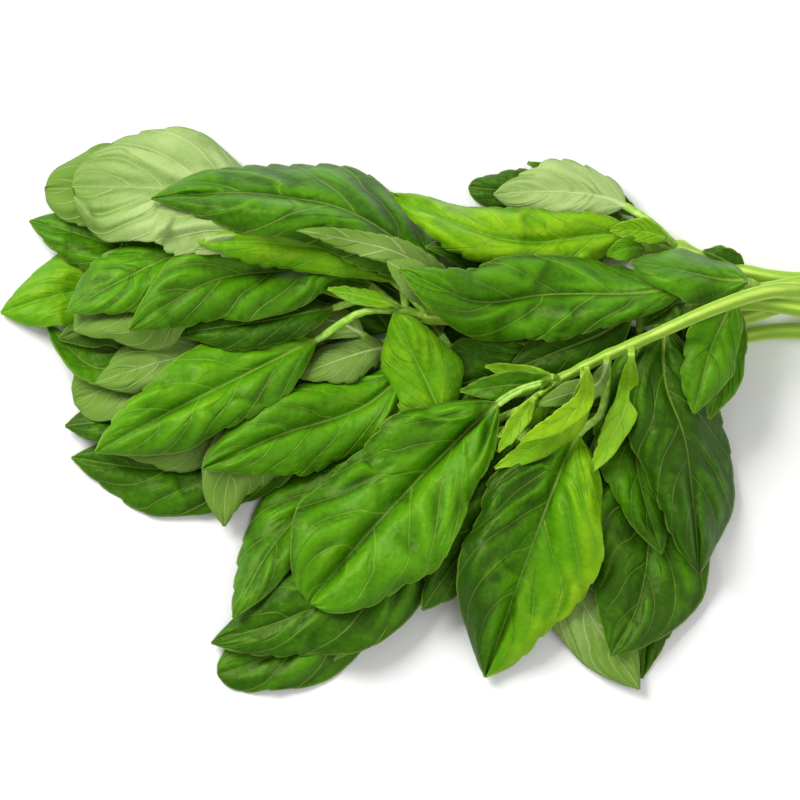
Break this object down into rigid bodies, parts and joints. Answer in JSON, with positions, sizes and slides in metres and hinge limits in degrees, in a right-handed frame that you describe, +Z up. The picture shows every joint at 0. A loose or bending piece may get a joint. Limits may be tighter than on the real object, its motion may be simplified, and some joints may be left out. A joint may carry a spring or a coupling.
{
  "type": "basil bunch",
  "caption": "Loose bunch of cut basil lying on its side, with leafy stems piled over one another and their cut ends together.",
  "frame": {"origin": "middle of the bunch in plan, on the surface it lies on", "axes": "+X along the stems towards their cut ends, +Y towards the back of the bunch, +Z up from the surface"},
  "size_m": [0.3116, 0.1837, 0.0486],
  "materials": {
    "low_leaves": "satin",
    "left_leaves": "satin",
    "top_leaves": "satin",
    "young_leaves": "satin",
    "dark_leaves": "satin",
    "front_leaves": "satin"
  },
  "bodies": {
    "root": {"leafy_stem_front_low": "low_leaves", "leafy_stem_left_low": "left_leaves", "leafy_stem_left_high": "top_leaves", "leafy_stem_back": "young_leaves", "leafy_stem_middle": "dark_leaves", "leafy_stem_front_high": "front_leaves"}
  },
  "joints": []
}
